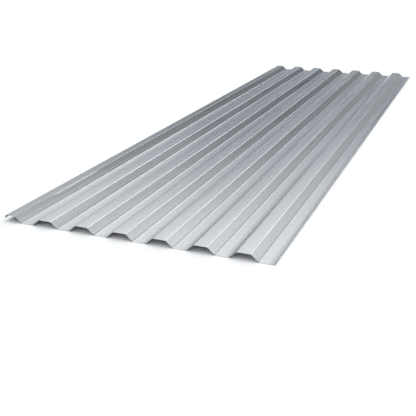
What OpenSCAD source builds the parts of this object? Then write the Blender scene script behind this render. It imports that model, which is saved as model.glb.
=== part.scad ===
// Trapezoidal corrugated metal sheet, roll-formed in one piece from flat coil.
// It lies on the undersides of its valleys with its ribs along Y. The origin is
// on that plane, below the middle of the sheet.

/* [Sheet] */
// Length of the sheet along its ribs
sheet_length = 3500; // [500:50:6000]
// Thickness of the metal
sheet_t = 0.7; // [0.4:0.05:1.2]
// Inside radius of every roll-formed bend
bend_r = 5; // [1:0.5:6]

/* [Ribs] */
// Number of ribs across the sheet
rib_count = 7; // [2:1:10]
// Distance from one rib to the next
rib_pitch = 150; // [130:1:220]
// Height of a rib, from the underside of a valley to the top of a crest
rib_height = 25; // [15:0.5:40]
// Width of a crest between its bend lines
crest_w = 48; // [30:1:60]
// Width of a valley between its bend lines
valley_w = 46; // [30:1:60]

/* [Side laps] */
// Width of the first crest, which laps over the last crest of the next sheet
lap_crest_w = 40; // [25:1:60]
// How far the lip of the lapping crest turns down
lap_lip_drop = 11.5; // [8:0.5:13]
// How far the lip of the lapping crest leans outwards
lap_lip_run = 4; // [0:0.5:12]
// How far the drain lip rises beside the last valley
drain_lip_rise = 5; // [4:0.5:13]
// How far the drain lip leans outwards
drain_lip_run = 7; // [4:0.5:15]

/* [Hidden] */
// Straight steps that each bend is drawn with
bend_steps = 8;
// Width of the slope between a crest and a valley, seen from above
flank_run = (rib_pitch - crest_w - valley_w) / 2;
// Heights of the middle of the metal in the valleys and in the crests
valley_z = sheet_t / 2;
crest_z = rib_height - sheet_t / 2;
// Middle of the metal at the two long edges of the sheet
lap_corner = [crest_w - lap_crest_w, crest_z];
lap_edge = lap_corner - [lap_lip_run, lap_lip_drop];
drain_corner = [rib_count * rib_pitch - flank_run, valley_z];
drain_edge = drain_corner + [drain_lip_run, drain_lip_rise];

// Bend lines of one full rib and of the valley on its right
function rib_corners(k) =
    let (x = k * rib_pitch)
    [
        [x, crest_z],
        [x + crest_w, crest_z],
        [x + crest_w + flank_run, valley_z],
        [x + rib_pitch - flank_run, valley_z]
    ];

// Every bend line across the sheet, in order, between its two edges.
// The lapping crest takes the place of the first corner of the first rib.
corners = [
    lap_corner,
    for (k = [0 : rib_count - 1], i = [0 : 3])
        if (k > 0 || i > 0) rib_corners(k)[i]
];
bend_path = [lap_edge, each corners, drain_edge];

function heading(a, b) = atan2(b.y - a.y, b.x - a.x);
function along(angle) = [cos(angle), sin(angle)];
function across(angle) = [-sin(angle), cos(angle)];

// Stations round the bend at b, each a point in the middle of the metal and
// the direction across the metal there
function bend(a, b, c) =
    let (
        start = heading(a, b),
        turn = heading(b, c) - start,
        r = sign(turn) * (bend_r + sheet_t / 2),
        tangent_point = b - r * tan(turn / 2) * along(start),
        centre = tangent_point + r * across(start)
    )
    [
        for (i = [0 : bend_steps])
            let (side = across(start + turn * i / bend_steps))
            [centre - r * side, side]
    ];

// Stations across the whole sheet, from the lap lip to the drain lip
last = len(bend_path) - 1;
stations = [
    [lap_edge, across(heading(lap_edge, lap_corner))],
    for (i = [1 : last - 1]) each bend(bend_path[i - 1], bend_path[i], bend_path[i + 1]),
    [drain_edge, across(heading(drain_corner, drain_edge))]
];

// Outline of the section: the top face, and back along the underside
top_face = [for (s = stations) s[0] + s[1] * sheet_t / 2];
underside = [for (s = stations) s[0] - s[1] * sheet_t / 2];
section = [each top_face, for (i = [len(underside) - 1 : -1 : 0]) underside[i]];
section_x = [for (p = section) p.x];
middle_x = (min(section_x) + max(section_x)) / 2;

module corrugated_sheet() {
    color("gainsboro")
        translate([0, sheet_length / 2, 0])
            rotate([90, 0, 0])
                linear_extrude(sheet_length)
                    polygon([for (p = section) p - [middle_x, 0]]);
}

corrugated_sheet();
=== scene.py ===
# %% [markdown]
# # A corrugated metal sheet
# The real object is one long roofing sheet, roll-formed from a strip of zinc-aluminium coated steel.
# Everything that matters is in its section and in its finish: seven ribs with small rolled bends, two
# different edges, and a satin metal skin with streaks that run the way the strip was rolled.
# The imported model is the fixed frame. The lesson builds one finely divided sheet over it, gives it the
# finish of the real metal, and sets it on a pale floor in soft studio light.

# %% Load the frame
import math

import bpy
import numpy as np
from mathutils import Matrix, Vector


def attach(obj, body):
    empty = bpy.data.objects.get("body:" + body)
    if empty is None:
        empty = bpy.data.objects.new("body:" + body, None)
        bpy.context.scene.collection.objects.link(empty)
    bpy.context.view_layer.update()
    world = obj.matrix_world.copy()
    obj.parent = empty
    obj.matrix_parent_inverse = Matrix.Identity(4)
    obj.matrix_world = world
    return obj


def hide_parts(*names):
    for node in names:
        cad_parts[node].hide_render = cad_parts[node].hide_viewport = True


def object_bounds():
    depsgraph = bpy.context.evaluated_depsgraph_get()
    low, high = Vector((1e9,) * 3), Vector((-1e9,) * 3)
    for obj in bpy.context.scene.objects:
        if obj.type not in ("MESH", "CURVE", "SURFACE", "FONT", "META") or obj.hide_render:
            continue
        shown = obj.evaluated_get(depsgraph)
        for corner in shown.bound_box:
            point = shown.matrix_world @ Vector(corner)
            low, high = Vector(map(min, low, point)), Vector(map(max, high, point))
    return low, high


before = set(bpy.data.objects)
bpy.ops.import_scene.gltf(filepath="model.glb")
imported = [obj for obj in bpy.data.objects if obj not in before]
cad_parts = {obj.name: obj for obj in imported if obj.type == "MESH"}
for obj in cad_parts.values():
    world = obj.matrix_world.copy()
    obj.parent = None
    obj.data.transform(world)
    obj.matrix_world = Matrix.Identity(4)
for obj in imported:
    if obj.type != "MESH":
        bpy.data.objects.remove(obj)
cad_low, cad_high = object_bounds()
SHEET_LENGTH = cad_high.y - cad_low.y
RIB_HEIGHT = cad_high.z - cad_low.z
print("frame:", *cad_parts)
print(f"{SHEET_LENGTH:.3f} m long, {cad_high.x - cad_low.x:.4f} m wide, {RIB_HEIGHT * 1000:.1f} mm high")

# %% [markdown]
# ## Camera
# The ribs, the front edge and the far edge of the sheet in the picture fix where the camera stood. It
# looks down on the front edge from the right. A tracking constraint could aim it, but only the place, two
# angles and the lens are needed, so they are set directly.

# %% Camera
CAMERA_AT = Vector((1.0652, -3.7167, 0.9660))
TURNED_LEFT = math.radians(21.65)
LOOKING_DOWN = math.radians(20.79)
SENSOR_MM = 36.0
FOCAL_PX = 709.7
PICTURE_PX = 416
SEES_AS_FAR_AS = 400.0

lens = bpy.data.cameras.new("camera")
lens.sensor_width = SENSOR_MM
lens.lens = FOCAL_PX / PICTURE_PX * SENSOR_MM
lens.clip_end = SEES_AS_FAR_AS
camera = bpy.data.objects.new("camera", lens)
camera.location = CAMERA_AT
camera.rotation_euler = (math.pi / 2 - LOOKING_DOWN, 0.0, TURNED_LEFT)
bpy.context.scene.collection.objects.link(camera)
bpy.context.scene.camera = camera
bpy.context.scene.view_settings.view_transform = "Standard"
print(f"camera: {lens.lens:.1f} mm lens, {CAMERA_AT.z:.2f} m above the floor")

# %% [markdown]
# ## The section of the sheet
# Rollers bend the flat strip along straight lines. So the section is a chain of flats and small arcs, and
# a list of bend corners describes it fully. It could be drawn by hand as a curve, but a list keeps every
# rib alike and keeps the numbers in one place. The left edge turns down as a lap lip, and the right edge
# ends in a valley with a short drain lip. Rollers also leave each valley slightly cupped and each crest
# slightly crowned. The corners are set in by those amounts, so the sheet keeps its height.

# %% Bend corners
RIB_COUNT = 7
RIB_PITCH = 0.150
CREST_W = 0.048
VALLEY_W = 0.046
FLANK_RUN = (RIB_PITCH - CREST_W - VALLEY_W) / 2
LAP_CREST_W = 0.040
LAP_LIP = np.array([0.004, 0.0115])
DRAIN_LIP = np.array([0.007, 0.005])
SHEET_T = 0.0007
VALLEY_CUP = 0.00014
CREST_CROWN = 0.0001

valley_z = SHEET_T / 2 + VALLEY_CUP
crest_z = RIB_HEIGHT - SHEET_T / 2 - CREST_CROWN


def bend_corners():
    """Points where the middle of the metal would meet if every bend were sharp."""
    line = [np.array([CREST_W - LAP_CREST_W, crest_z])]
    for rib in range(RIB_COUNT):
        x = rib * RIB_PITCH
        if rib:
            line.append(np.array([x, crest_z]))
        line.append(np.array([x + CREST_W, crest_z]))
        line.append(np.array([x + CREST_W + FLANK_RUN, valley_z]))
        line.append(np.array([x + RIB_PITCH - FLANK_RUN, valley_z]))
    return [line[0] - LAP_LIP, *line, line[-1] + DRAIN_LIP]


corners = bend_corners()
print(f"section: {len(corners) - 2} bends between the two edges")

# %% [markdown]
# ## Rolled bends
# Each bend is an arc of one radius that runs smoothly into the flats on both sides. A bevel modifier on a
# sharp strip could round the corners too. Here the arc is worked out from the turn of the metal, so each
# station on it has a point in the middle of the metal and the direction through the metal, and that is
# all that the two faces need. Six steps are enough for light to slide round a bend.

# %% Rolled bends
BEND_R = 0.005
BEND_STEPS = 6


def heading(a, b):
    """Angle of the line from a to b."""
    return math.atan2(b[1] - a[1], b[0] - a[0])


def along(angle):
    """Direction of a line at this angle."""
    return np.array([math.cos(angle), math.sin(angle)])


def across(angle):
    """Direction square to a line at this angle, on its left."""
    return np.array([-math.sin(angle), math.cos(angle)])


def bend_stations(a, b, c):
    """Points and through-directions round the bend at corner b."""
    start = heading(a, b)
    turn = heading(b, c) - start
    radius = math.copysign(BEND_R + SHEET_T / 2, turn)
    centre = b - radius * math.tan(turn / 2) * along(start) + radius * across(start)
    sides = [across(start + turn * i / BEND_STEPS) for i in range(BEND_STEPS + 1)]
    return [(centre - radius * side, side) for side in sides]


bends = [bend_stations(*corners[i - 1:i + 2]) for i in range(1, len(corners) - 1)]
print(f"bends: {len(bends)} arcs of {BEND_R * 1000:.0f} mm inside radius, {BEND_STEPS} steps each")

# %% [markdown]
# ## Flats between the bends
# A flat is a crest, a valley or a flank. It could be a single face from bend to bend, but it needs some
# stations of its own: one close beside each bend, which keeps smooth shading from leaking onto the flat,
# and a few between, which carry the crown of a crest and the cup of a valley. A station also carries a
# mark for the painted shade that darkens the corners of the valleys, for the finish to use later.

# %% Flats
FLAT_SHARES = (0.08, 0.18, 0.35, 0.65, 0.82, 0.92)
BESIDE_BEND = 0.0008
ARCHES = {"crest": CREST_CROWN, "valley": -VALLEY_CUP}
ARCH_POWER = 4
# Painted shade: the falling flanks and the valleys darken towards the corner at their end
CORNER_SHADE_FROM = {"falling": 0.82, "valley": 0.65}
CORNER_SHADE_FULL = 0.92


def kind_of(strip):
    """What a flat is: after the first lip, crests, falling flanks, valleys and rising flanks repeat."""
    return ("rising", "crest", "falling", "valley")[strip % 4]


def corner_shade_mark(kind, share):
    """How much painted shade lies at this share of a flat: it grows towards the corner at the flat's end.
    """
    if kind not in CORNER_SHADE_FROM:
        return 0.0
    start = CORNER_SHADE_FROM[kind]
    return float(np.clip((share - start) / (CORNER_SHADE_FULL - start), 0.0, 1.0))


def flat_stations(a, b, side, strip):
    """Rows for the flat from a to b: a station close to each end and, where there is room, some between."""
    near = BESIDE_BEND / np.linalg.norm(b - a)
    kind = kind_of(strip)
    between = [share for share in FLAT_SHARES if near < share < 1 - near]
    rows = []
    for share in (near, *between, 1 - near):
        arch = ARCHES.get(kind, 0.0) * (1 - (2 * share - 1) ** ARCH_POWER)
        point = a + (b - a) * share + side * arch
        bulge = math.sin(math.pi * share) ** 2
        rows.append((*point, *side, strip, bulge, 0.0, corner_shade_mark(kind, share)))
    return rows


print(f"flats: {len(bends) + 1}, each with up to {len(FLAT_SHARES) + 2} stations")

# %% [markdown]
# ## Stations across the strip
# Bends and flats now follow each other from the lap lip to the drain lip. One array of rows could be filled
# by hand, but a loop over the bends keeps them in order. The bends beside a crest get a full bend mark,
# and the bends beside a valley get less; the mark is partly burnished metal and partly a painted highlight
# along the bend. The distance along the unrolled strip is measured too, because the finish was on the strip
# before it was bent.

# %% Stations
# Share of the bend mark on the bends beside a valley: a little burnish and a painted highlight
VALLEY_BURNISH_AND_HIGHLIGHT = 0.4


def stations_across():
    """Rows of x, z, through-x, through-z, strip number, bulge weight, bend mark of burnished metal and
    painted highlight, and painted corner shade.
    """
    first_side = across(heading(corners[0], corners[1]))
    last_side = across(heading(corners[-2], corners[-1]))
    groups = [[(corners[0], first_side)], *bends, [(corners[-1], last_side)]]
    rows = []
    for strip, (group, after) in enumerate(zip(groups, [*groups[1:], None])):
        bend_mark = VALLEY_BURNISH_AND_HIGHLIGHT if kind_of(strip) in ("valley", "rising") else 1.0
        rows += [(*point, *side, strip, 0.0, bend_mark, 0.0) for point, side in group]
        if after is not None:
            rows += flat_stations(group[-1][0], after[0][0], group[-1][1], strip)
    return np.array(rows)


stations = stations_across()
middle = stations[:, 0:2]
through = stations[:, 2:4]
strip_of = stations[:, 4].astype(int)
bulge_weight = stations[:, 5]
# Bend mark: partly burnished metal, partly a painted highlight along the bends
burnish_and_highlight = stations[:, 6]
# Painted shade in the corners of the valleys
corner_shade = stations[:, 7]
unrolled = np.concatenate([[0.0], np.cumsum(np.linalg.norm(np.diff(middle, axis=0), axis=1))])
print(f"{len(stations)} stations; the strip was {unrolled[-1] * 1000:.0f} mm wide before it was rolled")

# %% [markdown]
# ## Swelling of the flats
# Real flats are never quite flat: each one swells and sinks by a fraction of a millimetre along the sheet,
# and that is what makes its shine uneven. A displacement texture could do this. Two sine waves for each
# flat are calmer and closer to rolled metal, and a fixed seed gives the same sheet on every run.

# %% Swelling of the flats
BULGE = 0.00008
LONG_WAVES = (0.45, 0.85)
SHORT_WAVES = (0.18, 0.34)
LONG_SHARE = 0.35
SHORT_SHARE = 0.15
SEED = 11

rng = np.random.default_rng(SEED)
strip_count = strip_of.max() + 1
long_wave = rng.uniform(*LONG_WAVES, strip_count)
short_wave = rng.uniform(*SHORT_WAVES, strip_count)
phases = rng.uniform(0.0, 2 * math.pi, (2, strip_count))


def bulge_of(y):
    """How far each station stands proud at one row, between nothing and BULGE."""
    slow = np.sin(2 * math.pi * y / long_wave + phases[0])
    quick = np.sin(2 * math.pi * y / short_wave + phases[1])
    swell = LONG_SHARE * (1 + slow) + SHORT_SHARE * (1 + quick)
    return BULGE * swell[strip_of] * bulge_weight


print(f"swelling: up to {bulge_of(0.0).max() * 1000:.3f} mm half way along the sheet")

# %% [markdown]
# ## Points of the skin
# The top face, the underside, the two long edges and the two sheared ends are one closed skin. A solidify
# modifier on a plain strip would also give the thickness, but the section already knows the direction
# through the metal, so both faces are laid straight from it. The section is then moved sideways, so that
# the middle of the sheet lies over the origin as it does in the frame.

# %% Points of the skin
ROWS_ALONG = 100

rows_y = np.linspace(-SHEET_LENGTH / 2, SHEET_LENGTH / 2, ROWS_ALONG + 1)
faces_x = np.concatenate([(middle + sign * through * SHEET_T / 2)[:, 0] for sign in (1, -1)])
shift_x = -(faces_x.min() + faces_x.max()) / 2


def sheet_points():
    """Top points of every row, then the points of the underside."""
    faces = []
    for sign in (1, -1):
        for y in rows_y:
            lift = sign * SHEET_T / 2 + bulge_of(y)
            flat = middle + through * lift[:, None]
            faces.append(np.column_stack([flat[:, 0] + shift_x, np.full(len(flat), y), flat[:, 1]]))
    return np.concatenate(faces)


points = sheet_points()
print(f"skin: {len(points)} points in {len(rows_y)} rows on each face")

# %% [markdown]
# ## Faces of the skin
# Neighbouring rows are joined with four-sided faces, which shade evenly on long metal. The coated faces
# come first and the cut edges after them, so that each can take its own finish by its place in the list.

# %% Faces of the skin


def sheet_faces():
    """Quads of the coated faces first, then the quads of the cut edges."""
    width = len(stations)
    end = width - 1
    under = width * len(rows_y)
    coated, cut = [], []
    for row in range(ROWS_ALONG):
        a, b = row * width, (row + 1) * width
        for i in range(end):
            coated.append((a + i, a + i + 1, b + i + 1, b + i))
            coated.append((under + a + i, under + b + i, under + b + i + 1, under + a + i + 1))
        cut.append((a, b, under + b, under + a))
        cut.append((a + end, under + a + end, under + b + end, b + end))
    far = ROWS_ALONG * width
    for i in range(end):
        cut.append((i, under + i, under + i + 1, i + 1))
        cut.append((far + i, far + i + 1, under + far + i + 1, under + far + i))
    return coated, cut


coated_faces, cut_faces = sheet_faces()
print(f"skin: {len(coated_faces)} coated quads and {len(cut_faces)} quads along the cut edges")

# %% [markdown]
# ## The rolled sheet
# The points and faces become one mesh. Smooth shading carries light round the bends, and any edge that
# turns more than the sharp angle stays crisp, which keeps the cut edges clean. The piece rides on the one
# body of the frame and stands for the plain solid there.

# %% Rolled sheet
SHARPER_THAN = math.radians(40)

mesh = bpy.data.meshes.new("rolled_sheet")
mesh.from_pydata(points.tolist(), [], coated_faces + cut_faces)
mesh.polygons.foreach_set("material_index", [0] * len(coated_faces) + [1] * len(cut_faces))
mesh.polygons.foreach_set("use_smooth", [True] * len(mesh.polygons))
mesh.set_sharp_from_angle(angle=SHARPER_THAN)
sheet = bpy.data.objects.new("rolled_sheet", mesh)
bpy.context.scene.collection.objects.link(sheet)
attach(sheet, "root")
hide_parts("corrugated_sheet")
print(f"{sheet.name}: {len(mesh.vertices)} points, {len(mesh.polygons)} quads")

# %% [markdown]
# ## The unrolled strip as texture space
# Streaks, spangle and scratches were on the strip before it went through the rollers. So the texture space
# is the unrolled strip in metres: one direction runs across it, following every flank, and the other runs
# along it. Object coordinates would stretch the pattern on the flanks.

# %% Texture space
strip_uv = mesh.uv_layers.new(name="strip")
loop_points = np.zeros(len(mesh.loops), dtype=int)
mesh.loops.foreach_get("vertex_index", loop_points)
point_station = loop_points % len(stations)
uv = np.column_stack([unrolled[point_station], points[loop_points, 1]])
strip_uv.data.foreach_set("uv", uv.ravel())
print(f"texture space: {unrolled[-1]:.3f} m by {SHEET_LENGTH:.3f} m")

# %% [markdown]
# ## Wear and painted light marks
# Four marks tell the finish where the sheet differs. Bends are partly burnished and partly carry a painted
# highlight. The lap at the left edge is darker than the rest, as painted shade. Painted shade darkens the
# corners of the valleys. One short line on the falling side of the first crest is a painted highlight,
# between two distances from the front edge. Painted masks would need a picture, so each mark is a number
# on every point, from a share across the strip and one along it.

# %% Wear and painted light marks
# Where the painted shade on the lap strip ends across the strip, and how wide it fades
LAP_ENDS = 0.090
LAP_FADE = 0.038
# Number of the bend on the falling side of the first crest, counted from the lap edge
LAP_BEND = 2
# A short painted highlight beside the falling bend of the first crest, between two distances from the front
# edge
HIGHLIGHT_FROM = 0.25
HIGHLIGHT_TO = 0.59
HIGHLIGHT_BELOW_BEND = 0.0010
HIGHLIGHT_HALF_W = 0.0030

# Painted shade: the lap strip at the left edge is painted darker, and its bends lose their painted
# highlight
lap = np.clip((LAP_ENDS - unrolled) / LAP_FADE, 0.0, 1.0)
lap_bend_end = unrolled[(strip_of == LAP_BEND) & (burnish_and_highlight > 0)].max()
from_painted_highlight = np.abs(unrolled - lap_bend_end - HIGHLIGHT_BELOW_BEND)
painted_highlight_line = np.clip(1 - from_painted_highlight / HIGHLIGHT_HALF_W, 0.0, 1.0)
from_front = rows_y + SHEET_LENGTH / 2
painted_highlight_rows = (from_front > HIGHLIGHT_FROM) & (from_front < HIGHLIGHT_TO)
all_rows = np.ones(len(rows_y))


def on_points(across_strip, along_strip):
    """A value for every point of both faces, from one across the strip and one along it."""
    return np.tile(np.outer(along_strip, across_strip).ravel(), 2)


# Bend: burnish and painted highlight; lap and corner: painted shade; the short line: painted highlight
masks = {
    "bend": on_points(burnish_and_highlight * (1 - lap), all_rows),
    "lap": on_points(lap, all_rows),
    "corner": on_points(corner_shade, all_rows),
    "painted_highlight": on_points(painted_highlight_line, painted_highlight_rows),
}
for name, values in masks.items():
    mesh.attributes.new(name, "FLOAT", "POINT").data.foreach_set("value", values)
    print(f"mark {name}: on {np.count_nonzero(values)} points")

# %% [markdown]
# ## Helpers for node materials
# Each finish is a small node tree. The trees could be wired line by line, but a helper that adds a node,
# sets its plain values and links its inputs keeps every finish readable from top to bottom.

# %% Node helpers


def add_node(tree, kind, links=None, values=None, **settings):
    """Adds a node, links named or numbered inputs to sockets and sets plain input values."""
    node = tree.nodes.new(kind)
    for key, value in settings.items():
        setattr(node, key, value)
    for key, value in (values or {}).items():
        node.inputs[key].default_value = value
    for key, socket in (links or {}).items():
        tree.links.new(socket, node.inputs[key])
    return node


def new_material(name):
    """An empty node material and its output node."""
    material = bpy.data.materials.new(name)
    material.use_nodes = True
    material.node_tree.nodes.clear()
    return material, material.node_tree.nodes.new("ShaderNodeOutputMaterial")


def maths(tree, operation, *parts):
    """One maths step between sockets and numbers."""
    node = add_node(tree, "ShaderNodeMath", operation=operation)
    for number, part in enumerate(parts):
        if isinstance(part, (int, float)):
            node.inputs[number].default_value = part
        else:
            tree.links.new(part, node.inputs[number])
    return node.outputs[0]


print("node helpers:", add_node.__name__, new_material.__name__, maths.__name__)

# %% [markdown]
# ## Streaks
# Rolled metal is marked by long thin streaks. A wave texture would repeat, so each streak is noise on the
# unrolled strip, squeezed to its width across and stretched to its length along. A second helper maps a
# value onto a range, because noise seldom leaves the middle of its own.

# %% Streaks
NOISE_ROUGHNESS = 0.55
NOISE_DETAIL = 3.0
NOISE_RANGE = (0.3, 0.7)
WHOLE_RANGE = (0.0, 1.0)


def streaks(tree, strip, across_m, along_m):
    """Noise whose marks are about across_m wide and along_m long on the strip."""
    scale = (1 / across_m, 1 / along_m, 1.0)
    place = add_node(tree, "ShaderNodeMapping", {0: strip}, {"Scale": scale})
    values = {"Scale": 1.0, "Detail": NOISE_DETAIL, "Roughness": NOISE_ROUGHNESS}
    return add_node(tree, "ShaderNodeTexNoise", {"Vector": place.outputs[0]}, values).outputs["Fac"]


def spread(tree, value, low, high, source=NOISE_RANGE):
    """Maps a value from its source range onto the range from low to high."""
    values = {"From Min": source[0], "From Max": source[1], "To Min": low, "To Max": high}
    return add_node(tree, "ShaderNodeMapRange", {"Value": value}, values).outputs[0]


print("streak helpers:", streaks.__name__, spread.__name__)

# %% [markdown]
# ## Tone of the coating
# Zinc-aluminium coating is a cool satin silver. Rolling leaves long streaks in it of three widths, and the
# coating itself has a faint crystal pattern. One noise could stand for all of this, but separate ones keep
# each mark at its own size. The marks come last: bends are brighter, partly from burnish and partly as a
# painted highlight, and the short line on the first crest is a painted highlight; the lap is darker as
# painted shade, and painted shade darkens the corners of the valleys.

# %% Tone of the coating
BROAD_STREAK = (0.070, 2.5)
ROLLED_STREAK = (0.006, 0.9)
FINE_STREAK = (0.0008, 0.10)
CRYSTALS_PER_M = 240.0
STREAK_TONES = (0.95, 1.04)
FINE_TONES = (0.97, 1.03)
CRYSTAL_TONES = (0.93, 1.06)
# Tone factors: bends partly burnish, partly painted highlight; lap and corners painted shade; the short
# line a painted highlight
MARK_TONES = {"bend": 1.34, "lap": 0.74, "corner": 0.78, "painted_highlight": 2.3}


def crystals(tree, strip):
    """A random value for each crystal of the coating."""
    cells = add_node(
        tree, "ShaderNodeTexVoronoi", {"Vector": strip}, {"Scale": CRYSTALS_PER_M}, feature="F1"
    )
    return add_node(tree, "ShaderNodeSeparateColor", {0: cells.outputs["Color"]}).outputs[0]


def wear_and_painted_light_mark(tree, mask):
    """One mark of wear and painted light, as a value at each place on the sheet."""
    return add_node(tree, "ShaderNodeAttribute", attribute_name=mask).outputs["Fac"]


def coating_tone(tree, strip, rolled, fine):
    """How light the coating is: streaks and crystals, then each mark of wear and painted light in turn."""
    broad = streaks(tree, strip, *BROAD_STREAK)
    tone = maths(tree, "MULTIPLY", spread(tree, broad, *STREAK_TONES), spread(tree, rolled, *STREAK_TONES))
    tone = maths(tree, "MULTIPLY", tone, spread(tree, fine, *FINE_TONES))
    tone = maths(tree, "MULTIPLY", tone, spread(tree, crystals(tree, strip), *CRYSTAL_TONES, WHOLE_RANGE))
    for mask, factor in MARK_TONES.items():
        tone = maths(tree, "MULTIPLY", tone, spread(tree, wear_and_painted_light_mark(tree, mask), 1.0, factor, WHOLE_RANGE))
    return tone


for width, length in (BROAD_STREAK, ROLLED_STREAK, FINE_STREAK):
    print(f"coating: streaks {width * 1000:g} mm wide and {length:g} m long")

# %% [markdown]
# ## Coated steel
# The skin is one metal shader. Its shine is stretched along a brushed direction, which the texture space
# gives as a tangent, because rolled metal spreads light across its streaks. The same streaks that vary the
# tone vary the roughness, bends are a little smoother, and the finest streaks are also a shallow relief.
# A stack of mixed shaders could do more, but one shader also survives outside this scene.

# %% Coated steel
COATING = (0.526, 0.530, 0.536, 1.0)
ROLLED_ROUGHNESS = (0.21, 0.28)
FINE_ROUGHNESS = (-0.02, 0.02)
BEND_SMOOTHER_BY = 0.04
SCRATCH_STRENGTH = 0.10
SCRATCH_DEPTH = 0.00004
BRUSHED = 0.35


def coated_steel():
    """The satin metal of the top face and the underside."""
    material, output = new_material("coated_steel")
    tree = material.node_tree
    strip = add_node(tree, "ShaderNodeUVMap", uv_map="strip").outputs[0]
    rolled = streaks(tree, strip, *ROLLED_STREAK)
    fine = streaks(tree, strip, *FINE_STREAK)
    tone = coating_tone(tree, strip, rolled, fine)
    colour = add_node(
        tree, "ShaderNodeMix", {"B": tone}, {"Factor": 1.0, "A": COATING},
        data_type="RGBA", blend_type="MULTIPLY",
    )
    rough = maths(
        tree, "ADD", spread(tree, rolled, *ROLLED_ROUGHNESS), spread(tree, fine, *FINE_ROUGHNESS)
    )
    smoother = maths(tree, "MULTIPLY", wear_and_painted_light_mark(tree, "bend"), BEND_SMOOTHER_BY)
    rough = maths(tree, "SUBTRACT", rough, smoother)
    relief = {"Strength": SCRATCH_STRENGTH, "Distance": SCRATCH_DEPTH}
    bump = add_node(tree, "ShaderNodeBump", {"Height": fine}, relief)
    tangent = add_node(tree, "ShaderNodeTangent", direction_type="UV_MAP", uv_map="strip")
    metal = add_node(
        tree, "ShaderNodeBsdfPrincipled",
        {"Roughness": rough, "Normal": bump.outputs[0], "Tangent": tangent.outputs[0]},
        {"Metallic": 1.0, "Anisotropic": BRUSHED},
    )
    tree.links.new(colour.outputs["Result"], metal.inputs["Base Color"])
    tree.links.new(metal.outputs[0], output.inputs[0])
    return material


mesh.materials.append(coated_steel())
print(f"finish {mesh.materials[0].name}: {len(mesh.materials[0].node_tree.nodes)} nodes")

# %% [markdown]
# ## Cut edges
# Shears leave bare steel at the two ends and slitting leaves it along the two sides. It is darker than the
# coating and has fine marks across its thickness. It could share the coating's material, but a bare edge is
# what tells the eye how thin the sheet is, so it gets a short material of its own.

# %% Cut edges
BARE_STEEL = (0.40, 0.40, 0.41, 1.0)
SHEAR_MARKS_PER_M = 1800.0
SHEAR_DETAIL = 2.0
SHEAR_TONES = (0.75, 1.15)
SHEAR_ROUGHNESS = (0.35, 0.55)


def cut_steel():
    """The bare metal of the sheared ends and the slit sides."""
    material, output = new_material("cut_steel")
    tree = material.node_tree
    place = add_node(tree, "ShaderNodeTexCoord").outputs["Object"]
    size = {"Scale": SHEAR_MARKS_PER_M, "Detail": SHEAR_DETAIL}
    marks = add_node(tree, "ShaderNodeTexNoise", {"Vector": place}, size).outputs["Fac"]
    colour = add_node(
        tree, "ShaderNodeMix", {"B": spread(tree, marks, *SHEAR_TONES)}, {"Factor": 1.0, "A": BARE_STEEL},
        data_type="RGBA", blend_type="MULTIPLY",
    )
    rough = spread(tree, marks, *SHEAR_ROUGHNESS)
    metal = add_node(tree, "ShaderNodeBsdfPrincipled", {"Roughness": rough}, {"Metallic": 1.0})
    tree.links.new(colour.outputs["Result"], metal.inputs["Base Color"])
    tree.links.new(metal.outputs[0], output.inputs[0])
    return material


mesh.materials.append(cut_steel())
print(f"finish {mesh.materials[1].name}: on {len(cut_faces)} quads")

# %% [markdown]
# ## Floor
# The sheet lies on a plain white floor that runs past every edge of the picture and takes its shadow. A
# curved backdrop could hide the horizon, but a very large floor under a white horizon does the same. It
# lies a hair below the sheet, so that the two never share a plane.

# %% Floor
FLOOR_HALF = 150.0
FLOOR_GAP = 0.0003
FLOOR_WHITE = (0.98, 0.98, 0.98, 1.0)

floor_mesh = bpy.data.meshes.new("floor")
floor_corners = [(x * FLOOR_HALF, y * FLOOR_HALF, 0.0) for x, y in ((-1, -1), (1, -1), (1, 1), (-1, 1))]
floor_mesh.from_pydata(floor_corners, [], [(0, 1, 2, 3)])
floor = bpy.data.objects.new("floor", floor_mesh)
floor.location.z = -FLOOR_GAP
bpy.context.scene.collection.objects.link(floor)
paint, paint_output = new_material("floor_white")
matt = add_node(paint.node_tree, "ShaderNodeBsdfDiffuse", None, {"Color": FLOOR_WHITE})
paint.node_tree.links.new(matt.outputs[0], paint_output.inputs[0])
floor_mesh.materials.append(paint)
print(f"floor: {2 * FLOOR_HALF:.0f} m square")

# %% [markdown]
# ## Studio walls and ceiling
# Metal shows what stands around it, so the studio is part of the finish. A white band at the horizon meets
# the floor, a dark cool wall stands above it, and the ceiling brightens towards the top. Flats near the
# camera mirror the ceiling and flats at the back mirror the wall, which is why the sheet darkens with
# distance. Lamps and painted walls could be modelled, but one colour ramp over height gives the same
# mirror picture with nothing in the way.

# %% Studio walls and ceiling
# Each row is a height from the horizon, 0, to straight up, 1, then how light and how cool it is there.
WALL_TO_CEILING = (
    (0.00, 1.00, 0.0),
    (0.10, 1.00, 0.0),
    (0.14, 0.25, 0.8),
    (0.20, 0.09, 1.0),
    (0.27, 0.30, 1.0),
    (0.34, 0.54, 0.3),
    (0.42, 0.86, 0.05),
    (0.55, 0.95, 0.2),
    (0.80, 1.22, 0.05),
    (1.00, 1.32, 0.0),
)
COOL = np.array([0.71, 0.945, 1.19])
LIGHT_LEVEL = 1.4

world = bpy.data.worlds.new("studio")
world.use_nodes = True
bpy.context.scene.world = world
studio = world.node_tree
studio.nodes.clear()
direction = add_node(studio, "ShaderNodeTexCoord").outputs["Generated"]
towards = add_node(studio, "ShaderNodeSeparateXYZ", {0: direction}).outputs


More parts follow.
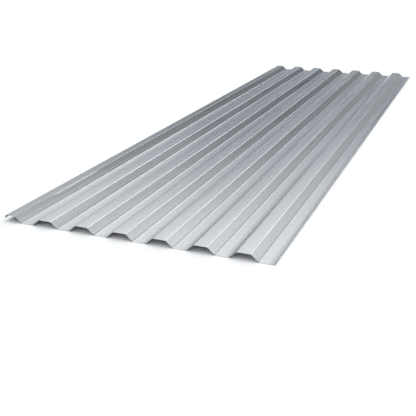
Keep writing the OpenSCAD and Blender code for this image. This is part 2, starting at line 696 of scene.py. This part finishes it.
def wall_and_ceiling():
    """The wall and the ceiling, as one colour ramp over height."""
    ramp = add_node(studio, "ShaderNodeValToRGB", {0: towards["Z"]})
    elements = ramp.color_ramp.elements
    while len(elements) < len(WALL_TO_CEILING):
        elements.new(0.5)
    for element, (height, level, coolness) in zip(elements, WALL_TO_CEILING):
        element.position = height
        tint = 1.0 + (COOL - 1.0) * coolness
        element.color = (*(tint * level / LIGHT_LEVEL), 1.0)
    return ramp.outputs[0]


surround = wall_and_ceiling()
print(f"studio: {len(WALL_TO_CEILING)} levels from the horizon to the top of the ceiling")

# %% [markdown]
# ## Cards, strip light and flag
# A photographer sets cards around metal to draw its form. A tall strip light behind the sheet brightens the
# bends. Front, back, low, left and right cards lift the flats and the flanks that mirror them, and a
# blue-grey flag takes light from the flanks that should stay dark. Each could be a glowing plane, but
# planes would stand in other views, so each is a soft oval patch of the studio itself.

# %% Cards, strip light and flag
# Angles are in degrees, with the azimuth measured from straight back towards the right.
STRIP_LIGHT = {"azimuth": 0.8, "elevation": 23.0, "half_width": 7.0, "half_height": 17.0, "level": 0.92}
FRONT_CARD = {"azimuth": -20.0, "elevation": 28.0, "half_width": 30.0, "half_height": 11.0, "level": 0.80}
BACK_CARD = {"azimuth": -10.5, "elevation": 18.0, "half_width": 8.0, "half_height": 5.0, "level": 0.38}
LOW_CARD = {"azimuth": 15.0, "elevation": 10.0, "half_width": 10.0, "half_height": 8.0, "level": 0.40}
LEFT_CARD = {"azimuth": -48.0, "elevation": 19.0, "half_width": 30.0, "half_height": 16.0, "level": 0.25}
RIGHT_CARD = {"azimuth": 26.0, "elevation": 20.0, "half_width": 14.5, "half_height": 18.0, "level": 0.80}
FLAG = {"azimuth": 9.5, "elevation": 21.0, "half_width": 13.0, "half_height": 24.0, "level": 1.00}
FULL_INSIDE = 0.35


def facing(fixed):
    """Cosine between the looked-at direction and a fixed one."""
    return add_node(
        studio, "ShaderNodeVectorMath", {0: direction}, {1: fixed}, operation="DOT_PRODUCT"
    ).outputs["Value"]


def patch(azimuth, elevation, half_width, half_height, level):
    """An oval patch of the studio, level inside and fading to nothing at its edge."""
    turned = math.radians(azimuth)
    raised = math.radians(elevation)
    ahead = (math.sin(turned) * math.cos(raised), math.cos(turned) * math.cos(raised), math.sin(raised))
    right = (math.cos(turned), -math.sin(turned), 0.0)
    up = (-math.sin(turned) * math.sin(raised), -math.cos(turned) * math.sin(raised), math.cos(raised))
    sideways = maths(studio, "DIVIDE", facing(right), math.sin(math.radians(half_width)))
    upwards = maths(studio, "DIVIDE", facing(up), math.sin(math.radians(half_height)))
    squares = [maths(studio, "MULTIPLY", part, part) for part in (sideways, upwards)]
    reach = maths(studio, "SQRT", maths(studio, "ADD", *squares))
    fade = {"From Min": FULL_INSIDE, "From Max": 1.0, "To Min": level, "To Max": 0.0}
    inside = add_node(studio, "ShaderNodeMapRange", {"Value": reach}, fade, interpolation_type="SMOOTHSTEP")
    in_front = maths(studio, "GREATER_THAN", facing(ahead), 0.0)
    return maths(studio, "MULTIPLY", inside.outputs[0], in_front)


cards = (FRONT_CARD, BACK_CARD, LEFT_CARD, RIGHT_CARD, LOW_CARD)
glow_level = patch(**STRIP_LIGHT)
for card in cards:
    glow_level = maths(studio, "ADD", glow_level, patch(**card))
print(f"studio: a strip light and {len(cards)} cards")

# %% [markdown]
# ## Studio light
# The flag takes a share of each colour from the walls behind it, a little more red than blue, because the
# darkest flanks of this metal are bluish. The side to the right is a little brighter, as from a key light.
# Walls and cards could be mixed by colour, but they are added as light, and nothing else lights the sheet.

# %% Studio light
KEY_SIDE = 0.35
FLAG_TAKES = np.array([0.955, 0.92, 0.885])
GLOW_COLOUR = (0.985, 0.997, 1.01, 1.0)

passes = {1: -FLAG_TAKES, 2: (1.0, 1.0, 1.0)}
passed = add_node(studio, "ShaderNodeVectorMath", {0: patch(**FLAG)}, passes, operation="MULTIPLY_ADD")
flagged = add_node(
    studio, "ShaderNodeVectorMath", {0: surround, 1: passed.outputs[0]}, operation="MULTIPLY"
)
right_and_up = maths(studio, "MULTIPLY", towards["X"], towards["Z"])
strength = maths(studio, "MULTIPLY_ADD", right_and_up, LIGHT_LEVEL * KEY_SIDE, LIGHT_LEVEL)
dome = add_node(studio, "ShaderNodeBackground", {"Color": flagged.outputs[0], "Strength": strength})
glow = add_node(studio, "ShaderNodeBackground", {"Strength": glow_level}, {"Color": GLOW_COLOUR})
both = add_node(studio, "ShaderNodeAddShader", {0: dome.outputs[0], 1: glow.outputs[0]})
add_node(studio, "ShaderNodeOutputWorld", {0: both.outputs[0]})
print(f"studio: {len(studio.nodes)} nodes light the sheet, with one flag")
